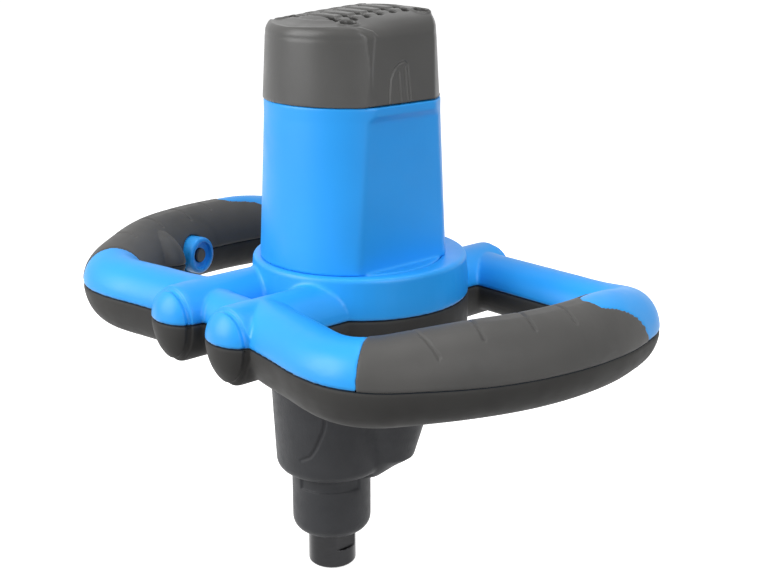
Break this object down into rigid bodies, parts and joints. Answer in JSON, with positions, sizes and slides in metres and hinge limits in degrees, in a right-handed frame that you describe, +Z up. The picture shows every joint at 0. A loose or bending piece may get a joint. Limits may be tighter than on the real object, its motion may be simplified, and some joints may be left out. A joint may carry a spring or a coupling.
{
  "type": "mixing drill",
  "caption": "Two-handled mixing drill: upright motor column on a loop-handle frame, a two-stage gearbox below and a threaded spindle for a stirrer.",
  "frame": {"origin": "on the spindle axis at the spindle's end face, the mouth of its thread", "axes": "+Z up along the spindle, -Y to the front, +X to the left-hand grip"},
  "size_m": [0.345, 0.211, 0.3229],
  "materials": {
    "blue_plastic": "satin moulded",
    "grey_plastic": "fine moulded grain",
    "soft_grip": "matt soft overmould",
    "dark_casting": "powder coated casting",
    "bare_aluminium": "machined casting",
    "black_steel": "black oxide",
    "gear_steel": "ground",
    "bearing_steel": "polished",
    "black_rubber": "matt",
    "lamination_steel": "stacked sheets",
    "copper_winding": "enamelled copper",
    "black_plastic": "moulded",
    "brass_fitting": "pressed",
    "carbon": "pressed carbon"
  },
  "bodies": {
    "root": {"motor_housing": "blue_plastic", "upper_frame_shell": "blue_plastic", "top_cap": "grey_plastic", "lower_frame_shell": "grey_plastic", "left_grip_cover": "soft_grip", "right_grip_cover": "soft_grip", "gearbox_housing": "dark_casting", "bearing_plate": "bare_aluminium", "cap_screws": "black_steel", "frame_screws": "black_steel", "gearbox_screws": "black_steel", "trigger_spring": "gear_steel", "brush_springs": "gear_steel", "spindle_lower_bearing": "bearing_steel", "spindle_upper_bearing": "bearing_steel", "countershaft_lower_bearing": "bearing_steel", "countershaft_upper_bearing": "bearing_steel", "armature_lower_bearing": "bearing_steel", "armature_upper_bearing": "bearing_steel", "shaft_seal": "black_rubber", "cord_inlet": "black_rubber", "stator_core": "lamination_steel", "field_coils": "copper_winding", "air_guide_ring": "black_plastic", "switch_body": "black_plastic", "control_module": "black_plastic", "brush_holders": "brass_fitting", "carbon_brushes": "carbon"},
    "spindle": {"spindle": "black_steel", "spindle_gear": "gear_steel", "gear_key": "gear_steel", "circlip": "gear_steel"},
    "countershaft": {"countershaft": "gear_steel", "countershaft_gear": "gear_steel"},
    "armature": {"armature_shaft": "gear_steel", "armature_core": "lamination_steel", "armature_windings": "copper_winding", "commutator": "copper_winding", "fan": "black_plastic"},
    "trigger": {"trigger": "blue_plastic", "lock_spring": "gear_steel"},
    "lock": {"lock_button": "grey_plastic"}
  },
  "joints": [
    {"name": "spindle_spin", "type": "hinge", "parent": "root", "child": "spindle", "pos_m": [0, 0, 0], "axis": [0, 0, 1], "continuous": true},
    {"name": "countershaft_spin", "type": "hinge", "parent": "root", "child": "countershaft", "pos_m": [0.02791, 0.02028, 0], "axis": [0, 0, 1], "continuous": true},
    {"name": "armature_spin", "type": "hinge", "parent": "root", "child": "armature", "pos_m": [0, 0.018, 0], "axis": [0, 0, 1], "continuous": true},
    {"name": "trigger_press", "type": "slide", "parent": "root", "child": "trigger", "axis": [-0.9582, -0.286, 0], "range_m": [0, 0.006], "stiffness_N_per_m": 800, "springref_m": -0.003, "deforming": ["trigger_spring"]},
    {"name": "lock_press", "type": "slide", "parent": "trigger", "child": "lock", "axis": [-0.9582, -0.286, 0], "range_m": [0, 0.0025], "stiffness_N_per_m": 500, "springref_m": -0.002, "deforming": ["lock_spring"]}
  ],
  "couplings": [
    {"joint": "countershaft_spin", "follows": "spindle_spin", "ratio": -3.6},
    {"joint": "armature_spin", "follows": "spindle_spin", "ratio": 21.6}
  ]
}
